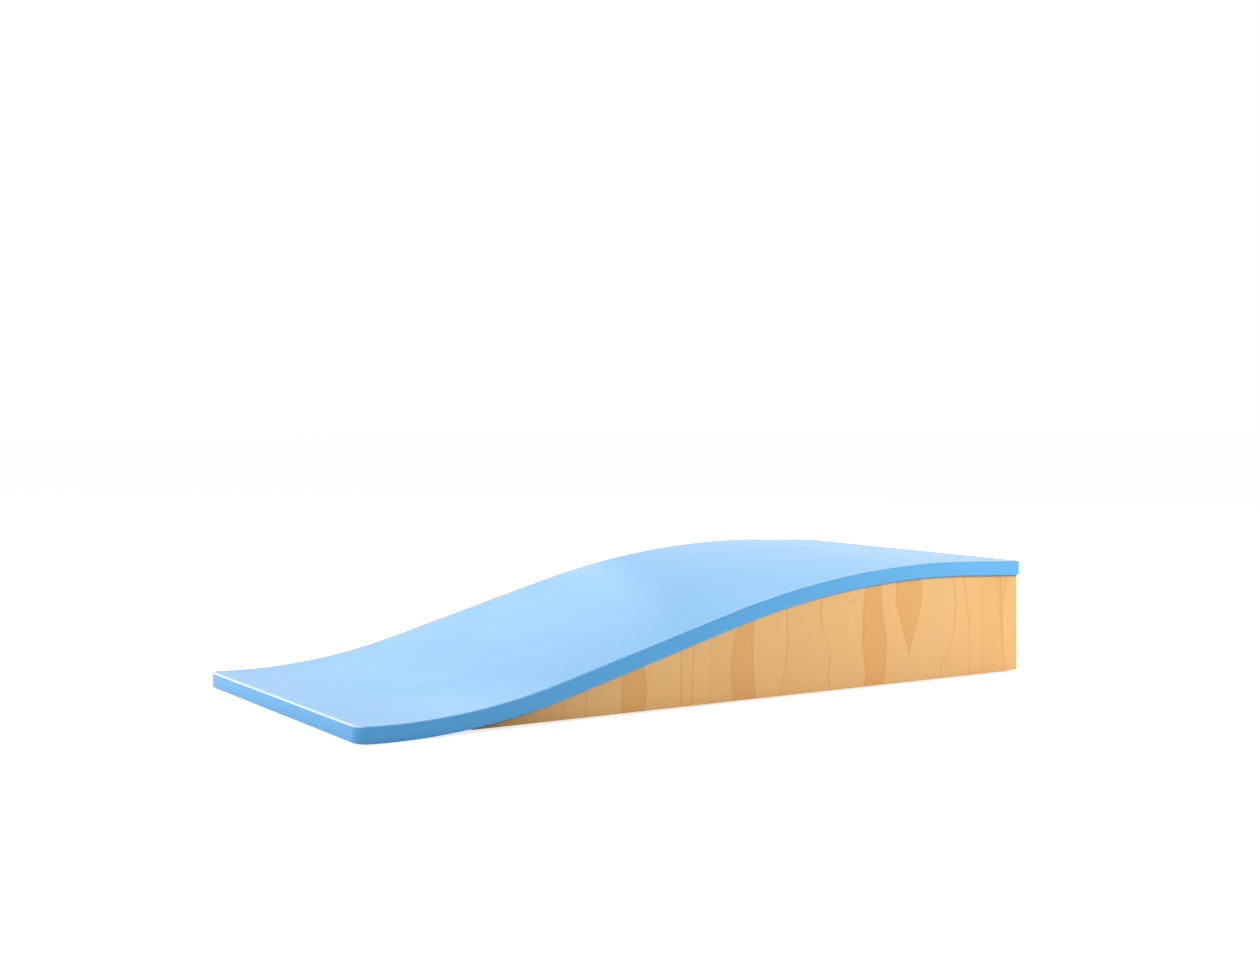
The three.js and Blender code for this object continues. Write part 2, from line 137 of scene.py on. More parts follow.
class Nodes:
    """Short calls for making and joining shader nodes in one tree."""

    def __init__(self, tree):
        self.tree = tree

    def add(self, kind, **settings):
        """A new node with its settings."""
        node = self.tree.nodes.new(kind)
        for name, value in settings.items():
            setattr(node, name, value)
        return node

    def put(self, socket, value):
        """Joins an output to the socket, or sets the socket's own value."""
        if isinstance(value, bpy.types.NodeSocket):
            self.tree.links.new(value, socket)
        else:
            socket.default_value = value

    def math(self, operation, a, b=None, c=None):
        node = self.add("ShaderNodeMath", operation=operation)
        for socket, value in zip(node.inputs, (a, b, c)):
            if value is not None:
                self.put(socket, value)
        return node.outputs[0]

    def centred(self, value):
        """A noise value moved down by a half, so that it swings either side of zero."""
        return self.math("SUBTRACT", value, 0.5)

    def strongest(self, masks):
        """The highest of several masks at each point."""
        most = masks[0]
        for mask in masks[1:]:
            most = self.math("MAXIMUM", most, mask)
        return most

    def mix(self, factor, a, b, blend="MIX"):
        """A colour between a and b."""
        node = self.add("ShaderNodeMix", data_type="RGBA", blend_type=blend, clamp_factor=True)
        self.put(node.inputs["Factor"], factor)
        self.put(node.inputs[6], a)
        self.put(node.inputs[7], b)
        return node.outputs[2]

    def blend(self, factor, colour, other, strength):
        """The colour with some of another laid over it, as far as the factor times the strength."""
        return self.mix(self.math("MULTIPLY", factor, strength), colour, other)

    def ramp(self, value, low, high, to_low=0.0, to_high=1.0, smooth=True):
        """The value carried from one range to another and held at both ends."""
        kind = "SMOOTHSTEP" if smooth else "LINEAR"
        node = self.add("ShaderNodeMapRange", interpolation_type=kind)
        for name, number in (("Value", value), ("From Min", low), ("From Max", high),
                             ("To Min", to_low), ("To Max", to_high)):
            self.put(node.inputs[name], number)
        return node.outputs[0]

    def combine(self, x, y, z):
        node = self.add("ShaderNodeCombineXYZ")
        for socket, value in zip(node.inputs, (x, y, z)):
            self.put(socket, value)
        return node.outputs[0]

    def stretched(self, *parts):
        """A vector from a (value, scale) pair for each axis."""
        return self.combine(*(self.math("MULTIPLY", value, scale) for value, scale in parts))

    def separate(self, vector):
        """The parts of a vector by the names of their axes."""
        node = self.add("ShaderNodeSeparateXYZ")
        self.put(node.inputs[0], vector)
        return dict(zip("xyz", node.outputs))

    def attribute(self, name):
        """A value that the mesh carries at its points."""
        return self.add("ShaderNodeAttribute", attribute_name=name).outputs["Fac"]

    def noise(self, vector, scale=1.0, detail=2.0, roughness=0.5, distortion=0.0):
        node = self.add("ShaderNodeTexNoise")
        self.put(node.inputs["Vector"], vector)
        for name, number in (("Scale", scale), ("Detail", detail), ("Roughness", roughness),
                             ("Distortion", distortion)):
            self.put(node.inputs[name], number)
        return node.outputs["Fac"]

    def curve(self, value, points):
        """A smooth curve through (value, result) points, with results between 0 and 1."""
        node = self.add("ShaderNodeFloatCurve")
        line = node.mapping.curves[0]
        for point, place in zip(line.points, (points[0], points[-1])):
            point.location = place
        for place in points[1:-1]:
            line.points.new(*place)
        node.mapping.update()
        self.put(node.inputs["Value"], value)
        return node.outputs[0]

    def bump(self, height, strength, distance):
        node = self.add("ShaderNodeBump")
        self.put(node.inputs["Height"], height)
        self.put(node.inputs["Strength"], strength)
        self.put(node.inputs["Distance"], distance)
        return node.outputs[0]

    def group(self, tree, **values):
        """A shared effect placed in this tree, with its inputs set by name."""
        node = self.add("ShaderNodeGroup", node_tree=tree)
        for name, value in values.items():
            self.put(node.inputs[name.replace("_", " ")], value)
        return node.outputs


def shader_group(name, inputs, outputs):
    """An empty shared effect with named inputs and outputs."""
    tree = bpy.data.node_groups.new(name, "ShaderNodeTree")
    for label, kind, value in inputs:
        socket = tree.interface.new_socket(label, in_out="INPUT", socket_type=f"NodeSocket{kind}")
        if value is not None:
            socket.default_value = value
    for label, kind in outputs:
        tree.interface.new_socket(label, in_out="OUTPUT", socket_type=f"NodeSocket{kind}")
    build = Nodes(tree)
    entry = build.add("NodeGroupInput")
    leave = build.add("NodeGroupOutput")
    return tree, build, entry.outputs, leave.inputs


# ---------------------------------------------------------------------------
# Shared effects. Distances in them are in metres on the piece.
# ---------------------------------------------------------------------------
FIBRE_WANDER = 6 * MM
LINE_HALF_WIDTH = 0.5 * MM
BAND_SOFTNESS = 0.6 * MM
WILD_RINGS = 13.0


def make_fibre():
    """Fine wood fibre: streaks along the grain, pores and a slow change of tone."""
    tree, n, given, out = shader_group(
        "Wood fibre",
        [("Across", "Float", 0.0), ("Along", "Float", 0.0), ("Depth", "Float", 0.0)],
        [("Tone", "Float"), ("Pores", "Float"), ("Height", "Float")],
    )
    across, along, depth = given["Across"], given["Along"], given["Depth"]
    wander = n.noise(n.stretched((across, 9.0), (along, 7.0), (depth, 1.0)), detail=2)
    bent = n.math("MULTIPLY_ADD", n.centred(wander), FIBRE_WANDER, across)
    fine = n.noise(n.stretched((bent, 950.0), (along, 22.0), (depth, 300.0)), detail=3, roughness=0.6)
    broad = n.noise(n.stretched((bent, 55.0), (along, 2.6), (depth, 20.0)), detail=3)
    slow = n.noise(n.stretched((across, 6.0), (along, 3.0), (depth, 1.0)), detail=1)
    tone = n.math("MULTIPLY", fine, 0.4)
    tone = n.math("MULTIPLY_ADD", broad, 0.4, tone)
    tone = n.math("MULTIPLY_ADD", slow, 0.2, tone)
    dashes = n.noise(n.stretched((bent, 1900.0), (along, 95.0), (depth, 400.0)), detail=1)
    pores = n.ramp(dashes, 0.66, 0.74)
    n.put(out["Tone"], tone)
    n.put(out["Pores"], pores)
    n.put(out["Height"], n.math("SUBTRACT", fine, n.math("MULTIPLY", pores, 0.6)))
    return tree


def make_growth_line():
    """A thin dark growth line, soft at its sides."""
    tree, n, given, out = shader_group(
        "Growth line",
        [("Across", "Float", 0.0), ("Place", "Float", 0.0), ("Half Width", "Float", LINE_HALF_WIDTH)],
        [("Mask", "Float")],
    )
    away = n.math("ABSOLUTE", n.math("SUBTRACT", given["Across"], given["Place"]))
    n.put(out["Mask"], n.ramp(away, 0.0, n.math("MULTIPLY", given["Half Width"], 2.4), 1.0, 0.0))
    return tree


def make_growth_band():
    """A darker band between two growth lines, a little deeper in tone at its rims."""
    tree, n, given, out = shader_group(
        "Growth band",
        [
            ("Across", "Float", 0.0),
            ("Left", "Float", 0.0),
            ("Right", "Float", 0.0),
            ("Soft", "Float", BAND_SOFTNESS),
        ],
        [("Mask", "Float")],
    )
    past_left = n.math("SUBTRACT", given["Across"], given["Left"])
    before_right = n.math("SUBTRACT", given["Right"], given["Across"])
    inside = n.math("MINIMUM", past_left, before_right)
    body = n.ramp(inside, n.math("MULTIPLY", given["Soft"], -1.0), given["Soft"])
    rim = n.ramp(inside, given["Soft"], n.math("MULTIPLY", given["Soft"], 9.0), 1.0, 0.82)
    n.put(out["Mask"], n.math("MULTIPLY", body, rim))
    return tree


def make_wild_figure():
    """Flame-like bands and growth lines for faces whose figure isn't listed one by one."""
    tree, n, given, out = shader_group(
        "Wild figure",
        [("Across", "Float", 0.0), ("Along", "Float", 0.0), ("Sheet", "Float", 0.0)],
        [("Band", "Float"), ("Line", "Float")],
    )
    drawn_out = n.stretched((given["Across"], 14.0), (given["Along"], 2.4), (given["Sheet"], 1.0))
    field = n.noise(drawn_out, detail=1, distortion=0.35)
    n.put(out["Band"], n.ramp(field, 0.575, 0.588))
    ring = n.math("FRACT", n.math("MULTIPLY", field, WILD_RINGS))
    n.put(out["Line"], n.ramp(n.math("ABSOLUTE", n.centred(ring)), 0.008, 0.03, 1.0, 0.0))
    return tree


def make_plies():
    """The glued layers on a cut edge of plywood, counted across the sheet."""
    tree, n, given, out = shader_group(
        "Ply layers",
        [("Through", "Float", 0.0), ("Along", "Float", 0.0), ("Plies", "Float", 11.0)],
        [("Cross Layer", "Float"), ("Glue Line", "Float"), ("Height", "Float")],
    )
    wave = n.noise(n.combine(n.math("MULTIPLY", given["Along"], 14.0), given["Through"], 0.0), detail=1)
    waviness = n.math("MULTIPLY", n.centred(wave), 0.22)
    counted = n.math("MULTIPLY_ADD", given["Through"], given["Plies"], waviness)
    odd = n.math("ABSOLUTE", n.math("MODULO", n.math("FLOOR", counted), 2.0))
    within = n.math("FRACT", counted)
    near_edge = n.math("MINIMUM", within, n.math("SUBTRACT", 1.0, within))
    glue = n.ramp(near_edge, 0.05, 0.14, 1.0, 0.0)
    n.put(out["Cross Layer"], odd)
    n.put(out["Glue Line"], glue)
    n.put(out["Height"], n.math("SUBTRACT", n.math("MULTIPLY", odd, -0.4), glue))
    return tree


def make_wear():
    """Handling marks: slow smudges and fine scuffs that run one way."""
    tree, n, given, out = shader_group(
        "Handling wear",
        [("Place", "Vector", None), ("Stretch", "Vector", (1.0, 1.0, 1.0))],
        [("Smudge", "Float"), ("Scuff", "Float")],
    )
    smudge = n.noise(given["Place"], scale=9.0, detail=3, roughness=0.6)
    drawn = n.add("ShaderNodeVectorMath", operation="MULTIPLY")
    n.put(drawn.inputs[0], given["Place"])
    n.put(drawn.inputs[1], given["Stretch"])
    scuff = n.noise(drawn.outputs[0], scale=1.0, detail=4, roughness=0.65)
    n.put(out["Smudge"], n.ramp(smudge, 0.3, 0.7))
    n.put(out["Scuff"], n.ramp(scuff, 0.62, 0.8))
    return tree


FIBRE = make_fibre()
GROWTH_LINE = make_growth_line()
GROWTH_BAND = make_growth_band()
WILD_FIGURE = make_wild_figure()
PLIES = make_plies()
WEAR = make_wear()


# ---------------------------------------------------------------------------
# Materials
# ---------------------------------------------------------------------------
SHEET_BLUE = srgb(77, 169, 229)
SHEET_BLUE_PALER = srgb(82, 172, 232)
SCUFFED_BLUE = srgb(150, 200, 235)
WORN_BLUE = srgb(150, 205, 240)
# Painted highlight: the near-white laid along the top edge of the low lip.
LIP_HIGHLIGHT_WHITE = srgb(222, 240, 252)
PALE_WOOD = srgb(240, 190, 123)
DEEP_WOOD = srgb(231, 177, 106)
BAND_WOOD = srgb(225, 161, 84)
LINE_WOOD = srgb(190, 112, 44)
# Painted shade: the colour multiplied into the cheeks near their thin tip, where the board shades them.
TIP_SHADE_WOOD = (0.40, 0.30, 0.09, 1.0)
# Painted shadow: the brown laid along the cheeks' top edge where the board's overhang shades it.
CONTACT_SHADE_BROWN = srgb(150, 88, 30)
LONG_PLY = srgb(240, 203, 152)
LONG_PLY_DEEP = srgb(222, 178, 122)
CROSS_PLY = srgb(214, 164, 106)
CROSS_PLY_DEEP = srgb(182, 132, 82)
GLUE_BROWN = srgb(128, 84, 48)
BEECH_PALE = srgb(222, 176, 122)
BEECH_DEEP = srgb(196, 146, 94)
BEECH_FLECK = srgb(160, 106, 62)
BEECH_END = srgb(196, 146, 96)
BEECH_END_DEEP = srgb(164, 114, 70)
ZINC_GREY = srgb(196, 200, 206)
ZINC_BRIGHT = srgb(226, 228, 226)
ZINC_DULL = srgb(186, 180, 160)
RUBBER_BLACK = srgb(34, 35, 37)
RUBBER_WORN = srgb(52, 53, 55)
RUBBER_DUST = srgb(88, 86, 82)


def new_material(name):
    """An empty material: itself, its node helper and its surface shader."""
    material = bpy.data.materials.new(name)
    material.use_nodes = True
    nodes = Nodes(material.node_tree)
    return material, nodes, material.node_tree.nodes["Principled BSDF"]


def blue_sheet():
    """Satin sheet plastic: a fine moulded skin, faint drag marks along it, paler worn edges, and a
    painted highlight along the top edge of the low lip.
    """
    material, n, surface = new_material("blue sheet plastic")
    place = n.add("ShaderNodeTexCoord").outputs["Object"]
    wear = n.group(WEAR, Place=place, Stretch=(14.0, 1500.0, 200.0))
    patch = n.noise(place, scale=4.0, detail=2)
    speck = n.ramp(n.noise(place, scale=2600.0, detail=1), 0.55, 0.75)
    colour = n.mix(n.ramp(patch, 0.3, 0.7, smooth=False), SHEET_BLUE, SHEET_BLUE_PALER)
    colour = n.blend(speck, colour, SCUFFED_BLUE, 0.05)
    colour = n.blend(wear["Scuff"], colour, SCUFFED_BLUE, 0.02)

    patchy = n.ramp(n.noise(place, scale=160.0, detail=3), 0.25, 0.75)
    worn = n.math("MULTIPLY", n.attribute("edge"), patchy)
    colour = n.blend(worn, colour, WORN_BLUE, 0.3)
    # Painted highlight along the low lip's top edge, a little uneven.
    uneven = n.ramp(n.noise(place, scale=240.0, detail=2), 0.2, 0.5, 0.7, 0.85)
    lip_highlight = n.math("MULTIPLY", n.ramp(n.attribute("lip"), 0.1, 0.75), uneven)
    colour = n.mix(lip_highlight, colour, LIP_HIGHLIGHT_WHITE)
    n.put(surface.inputs["Base Color"], colour)

    satin = n.ramp(wear["Smudge"], 0.0, 1.0, 0.22, 0.27, smooth=False)
    satin = n.math("MULTIPLY_ADD", wear["Scuff"], 0.02, satin)
    satin = n.math("MULTIPLY_ADD", worn, -0.04, satin)
    n.put(surface.inputs["Roughness"], satin)
    surface.inputs["Specular IOR Level"].default_value = 0.42
    skin = n.noise(place, scale=900.0, detail=2)
    n.put(surface.inputs["Normal"], n.bump(skin, 0.04, 0.4 * MM))
    return material


def wood_surface(n, surface, colour, height, dullness=0.52):
    """Sets a lacquered wood surface from its colour and its fine relief."""
    place = n.add("ShaderNodeTexCoord").outputs["Object"]
    wear = n.group(WEAR, Place=place, Stretch=(40.0, 40.0, 200.0))
    n.put(surface.inputs["Base Color"], n.blend(wear["Smudge"], colour, DEEP_WOOD, 0.07))
    lacquer = n.ramp(wear["Smudge"], 0.0, 1.0, dullness - 0.05, dullness + 0.05, smooth=False)
    n.put(surface.inputs["Roughness"], lacquer)
    n.put(surface.inputs["Normal"], n.bump(height, 0.22, 0.3 * MM))


def plywood(name, through, grain, start, thickness, plies, figure=None, sheet=0.0):
    """Plywood: the axis that goes through the sheet, the axis of its face grain, the place and
    thickness of the sheet, how many plies it has, and its figure if that is laid out."""
    material, n, surface = new_material(name)
    coordinates = n.add("ShaderNodeTexCoord")
    place = n.separate(coordinates.outputs["Object"])
    facing = n.separate(coordinates.outputs["Normal"])
    across_axis = next(axis for axis in "xyz" if axis not in (through, grain))
    across, along = place[across_axis], place[grain]
    fibre = n.group(FIBRE, Across=across, Along=along, Depth=sheet)
    if figure:
        band, line = figure(n, across, along)
    else:
        wild = n.group(WILD_FIGURE, Across=across, Along=along, Sheet=sheet)
        band, line = wild["Band"], wild["Line"]
    tone = n.ramp(fibre["Tone"], 0.34, 0.66, smooth=False)
    face = n.blend(tone, PALE_WOOD, DEEP_WOOD, 0.45)
    face = n.blend(band, face, BAND_WOOD, 0.75)
    face = n.blend(line, face, LINE_WOOD, 0.34)
    face = n.blend(fibre["Pores"], face, LINE_WOOD, 0.1)

    share = n.math("DIVIDE", n.math("SUBTRACT", place[through], start), thickness)
    sideways = n.math("ADD", across, along)
    layers = n.group(PLIES, Through=share, Along=sideways, Plies=float(plies))
    grainy = n.noise(coordinates.outputs["Object"], scale=1400.0, detail=3, roughness=0.7)
    long_layer = n.blend(grainy, LONG_PLY, LONG_PLY_DEEP, 0.5)
    cross_layer = n.mix(grainy, CROSS_PLY, CROSS_PLY_DEEP)
    cut = n.mix(layers["Cross Layer"], long_layer, cross_layer)
    cut = n.blend(layers["Glue Line"], cut, GLUE_BROWN, 0.55)
    on_edge = n.ramp(n.math("ABSOLUTE", facing[through]), 0.45, 0.6, 1.0, 0.0)

    colour = n.mix(on_edge, face, cut)
    # Painted shade: the cheek darkens towards its thin tip, under the board's low end.
    colour = n.mix(n.attribute("tip_shade"), colour, TIP_SHADE_WOOD, "MULTIPLY")
    # Painted shadow: a brown line along the cheek's top edge, under the board.
    contact_shade = n.math("POWER", n.attribute("contact_shade"), 1.6)
    colour = n.blend(contact_shade, colour, CONTACT_SHADE_BROWN, 0.8)
    edge_height = n.math("MULTIPLY_ADD", grainy, 0.6, layers["Height"])
    height = n.add("ShaderNodeMix", data_type="FLOAT")
    n.put(height.inputs["Factor"], on_edge)
    n.put(height.inputs[2], fibre["Height"])
    n.put(height.inputs[3], edge_height)
    wood_surface(n, surface, colour, height.outputs[0])
    return material


def hardwood(name, grain, log):
    """Planed beech: short flecks and a warm tone, with end grain where it is cut across."""
    material, n, surface = new_material(name)
    coordinates = n.add("ShaderNodeTexCoord")
    place = n.separate(coordinates.outputs["Object"])
    facing = n.separate(coordinates.outputs["Normal"])
    one, other = [axis for axis in "xyz" if axis != grain]
    across = n.math("MULTIPLY_ADD", place[other], 0.8, place[one])
    fibre = n.group(FIBRE, Across=across, Along=place[grain], Depth=log)
    spread = n.combine(n.math("MULTIPLY", across, 700.0), n.math("MULTIPLY", place[grain], 160.0), log)
    flecks = n.noise(spread, detail=1)
    colour = n.mix(n.ramp(fibre["Tone"], 0.3, 0.7, smooth=False), BEECH_PALE, BEECH_DEEP)
    colour = n.blend(n.ramp(flecks, 0.64, 0.7), colour, BEECH_FLECK, 0.4)
    rings = n.add("ShaderNodeTexWave", wave_type="RINGS", rings_direction="SPHERICAL")
    n.put(rings.inputs["Vector"], coordinates.outputs["Object"])
    n.put(rings.inputs["Scale"], 180.0)
    n.put(rings.inputs["Distortion"], 3.0)
    end_grain = n.mix(rings.outputs["Fac"], BEECH_END, BEECH_END_DEEP)
    on_end = n.ramp(n.math("ABSOLUTE", facing[grain]), 0.6, 0.8)
    wood_surface(n, surface, n.mix(on_end, colour, end_grain), fibre["Height"], dullness=0.62)
    return material


def zinced_steel():
    """Bright zinc plate with fine turning marks, spangle and dull handling spots."""
    material, n, surface = new_material("zinced steel")
    place = n.add("ShaderNodeTexCoord").outputs["Object"]
    wear = n.group(WEAR, Place=place, Stretch=(900.0, 900.0, 120.0))
    spangle = n.noise(place, scale=900.0, detail=2)
    colour = n.mix(spangle, ZINC_GREY, ZINC_BRIGHT)
    n.put(surface.inputs["Base Color"], n.blend(wear["Smudge"], colour, ZINC_DULL, 0.3))
    surface.inputs["Metallic"].default_value = 1.0
    n.put(surface.inputs["Roughness"], n.ramp(spangle, 0.3, 0.7, 0.26, 0.42))
    n.put(surface.inputs["Normal"], n.bump(wear["Scuff"], 0.15, 0.1 * MM))
    return material


def black_rubber():
    """Matt moulded rubber with a fine grain, dusty on its high spots."""
    material, n, surface = new_material("black rubber")
    place = n.add("ShaderNodeTexCoord").outputs["Object"]
    wear = n.group(WEAR, Place=place, Stretch=(60.0, 60.0, 60.0))
    grain = n.noise(place, scale=1800.0, detail=3, roughness=0.7)
    colour = n.mix(grain, RUBBER_BLACK, RUBBER_WORN)
    n.put(surface.inputs["Base Color"], n.blend(wear["Smudge"], colour, RUBBER_DUST, 0.35))
    n.put(surface.inputs["Roughness"], n.ramp(grain, 0.3, 0.7, 0.7, 0.88))
    n.put(surface.inputs["Normal"], n.bump(grain, 0.35, 0.3 * MM))
    return material


# ---------------------------------------------------------------------------
# The cheeks' figure. Every growth line and every side of a band is a few
# places along the cheek, in millimetres from the low end, each at its share of
# the height from the foot (0) to the head (1).
# ---------------------------------------------------------------------------
def upright(place):
    """A growth line that stands straight."""
    return [(0.0, place), (1.0, place)]


GROWTH_LINES = [
    [(0.0, 194), (0.5, 196), (1.0, 199)],
    upright(220),
    upright(321),
    [(0.0, 333), (0.6, 334), (1.0, 336)],
    [(0.0, 433), (0.18, 437), (0.4, 441.5), (1.0, 442)],
    [(0.0, 497), (0.15, 493), (0.32, 494.5), (0.5, 493.5), (0.78, 484), (1.0, 486)],
    [(0.0, 638), (0.17, 640), (0.27, 647), (0.4, 654.5), (1.0, 656)],
    [(0.0, 677), (0.5, 677), (0.8, 673), (1.0, 670)],
    [(0.0, 727), (0.5, 723.5), (1.0, 721)],
]
GROWTH_BANDS = [
    ([(0.0, 257), (0.5, 256), (1.0, 258)], [(0.0, 280), (0.4, 283.5), (1.0, 282)], 1.0),
    ([(0.0, 353), (0.5, 352), (1.0, 354)], [(0.0, 383), (0.5, 379), (1.0, 387)], 0.22),
    ([(0.0, 381), (0.45, 376.5), (0.7, 379), (1.0, 385)], [(0.0, 408), (0.25, 404.5), (1.0, 404)], 1.0),
    ([(0.0, 433), (0.4, 441), (1.0, 442)], [(0.0, 497), (0.4, 493), (0.78, 484), (1.0, 486)], 0.16),
    ([(0.0, 537), (0.2, 538.5), (0.5, 535), (1.0, 540)],
     [(0.0, 562.5), (0.25, 566), (0.45, 567), (0.7, 562.5), (1.0, 560)], 1.0),
    (upright(694), [(0.0, 724), (0.5, 720), (1.0, 716)], 0.22),
    ([(0.0, 726), (0.45, 720), (1.0, 715)], [(0.0, 726), (0.45, 724), (1.0, 732)], 0.6),
]
# A flame that hangs from the board: it is full width at one height and comes to a tip at another.
FLAME = {"middle": 596, "half_width": 17.5, "tip": 0.21, "full": 0.86}
# A small curl of grain round a knot, just under the board.
KNOT_CURL = {"middle": 521.5, "half_width": 8.5, "depth": 14.0}
CURL_LINE = 1.6 * MM
TURNED_OVER = 850  # the far cheek comes from the next piece of the sheet, turned over
CURVE_REACH = 80  # how far a growth line may wander, in millimetres
RIPPLE = 1.6 * MM


def cheek_figure(turned):
    """The growth lines and bands of one cheek, as masks."""
    def from_low(place):
        return TURNED_OVER - place if turned else place

    def metres(place):
        return from_low(place) * MM - BOARD_LENGTH / 2

    def head(place):
        return section.height(from_low(place) * MM, BOARD_THICKNESS)

    def share_up(n, along, place):
        return n.math("DIVIDE", along, head(place))

    def wandering(n, up, places):
        """Where a growth line stands at each height."""
        middle = metres(places[-1][1])
        reach = CURVE_REACH * MM
        points = [(height, 0.5 + (metres(place) - middle) / reach) for height, place in places]
        return n.math("MULTIPLY_ADD", n.centred(n.curve(up, points)), reach, middle)

    def flame_mask(n, bent, along):
        middle = metres(FLAME["middle"])
        up = share_up(n, along, FLAME["middle"])
        width = n.ramp(up, FLAME["tip"], FLAME["full"], 0.0, FLAME["half_width"] * MM)
        left = n.math("SUBTRACT", middle, width)
        right = n.math("ADD", middle, width)
        made = n.group(GROWTH_BAND, Across=bent, Left=left, Right=right)
        return n.math("MULTIPLY", made["Mask"], n.ramp(width, 0.0, 1.2 * MM))

    def curl_mask(n, bent, along):
        away = n.math("SUBTRACT", bent, metres(KNOT_CURL["middle"]))
        sideways = n.math("DIVIDE", away, KNOT_CURL["half_width"] * MM)
        depth = KNOT_CURL["depth"] * MM
        rounded = n.math("POWER", n.math("ABSOLUTE", sideways), 2.2)
        bowl = n.math("MULTIPLY_ADD", rounded, depth, head(KNOT_CURL["middle"]) - depth)
        off_bowl = n.math("ABSOLUTE", n.math("SUBTRACT", along, bowl))
        return n.math("MULTIPLY", n.ramp(off_bowl, 0.0, CURL_LINE, 1.0, 0.0), 0.8)

    def build(n, across, along):
        spread = n.combine(n.math("MULTIPLY", across, 60.0), n.math("MULTIPLY", along, 45.0), 0.0)
        ripple = n.noise(spread, detail=1)
        bent = n.math("MULTIPLY_ADD", n.centred(ripple), RIPPLE, across)
        lines = []
        for places in GROWTH_LINES:
            up = share_up(n, along, places[-1][1])
            made = n.group(GROWTH_LINE, Across=bent, Place=wandering(n, up, places))
            lines.append(made["Mask"])
        bands = []
        for left, right, strength in GROWTH_BANDS:
            if turned:
                left, right = right, left
            up = share_up(n, along, left[-1][1])
            sides = [wandering(n, up, places) for places in (left, right)]
            made = n.group(GROWTH_BAND, Across=bent, Left=sides[0], Right=sides[1])
            bands.append(n.math("MULTIPLY", made["Mask"], strength))
        bands.append(flame_mask(n, bent, along))
        lines.append(curl_mask(n, bent, along))
        return n.strongest(bands), n.strongest(lines)

    return build


# ---------------------------------------------------------------------------
# Meshes
# ---------------------------------------------------------------------------
def new_piece(name, mesh, material, slot, *nodes):
    """Links a mesh as a piece of the object that stands for the given CAD nodes."""
    piece = bpy.data.objects.new(name, mesh)
    bpy.context.scene.collection.objects.link(piece)
    mesh.materials.append(material)
    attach(piece, "root")
    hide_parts(*nodes)
    return piece


def mesh_from(bm, name):
    """Ends the making of a mesh."""
    mesh = bpy.data.meshes.new(name)
    bm.to_mesh(mesh)
    bm.free()
    return mesh


def smooth(mesh):
    """Shades the whole mesh as one rounded surface."""
    mesh.polygons.foreach_set("use_smooth", [True] * len(mesh.polygons))
    mesh.update()


def board_outline():
    """The near half of the board's plan from end to end: each point and where its edge faces."""
    steps_in_corner = 8
    steps_between = 110
    radius = PLAN_CORNER_RADIUS
    half = BOARD_WIDTH / 2
    corner = []
    for i in range(steps_in_corner + 1):
        turn = math.pi / 2 * i / steps_in_corner
        facing = (-math.cos(turn), -math.sin(turn))
        corner.append((radius + radius * facing[0], radius - half + radius * facing[1], facing))
    straight = BOARD_LENGTH - 2 * radius
    between = []
    for i in range(1, steps_between):
        between.append((radius + straight * i / steps_between, -half, (0.0, -1.0)))
    high_corner = []
    for x, y, facing in reversed(corner):
        high_corner.append((BOARD_LENGTH - x, y, (-facing[0], facing[1])))
    return corner + between + high_corner


def board_rings():
    """Each ring round the edge, from the top to the underside: its inset and its depth, both as a
    share of the edge's round plus a distance, how worn it is, which also sets the painted
    highlight on the low lip, and whether it's underneath."""
    steps = 6
    support = 0.8 * MM
    over_edge = [((1.0, support), (0.0, 0.0), 0.0)]
    for i in range(steps + 1):
        turn = math.pi / 2 * i / steps
        inset = (1 - math.sin(turn), 0.0)
        depth = (1 - math.cos(turn), 0.0)
        over_edge.append((inset, depth, math.sin(2 * turn)))
    over_edge.append(((0.0, 0.0), (1.0, support), 0.0))
    above = [ring + (False,) for ring in over_edge]
    below = [ring + (True,) for ring in reversed(over_edge)]
    return above + below


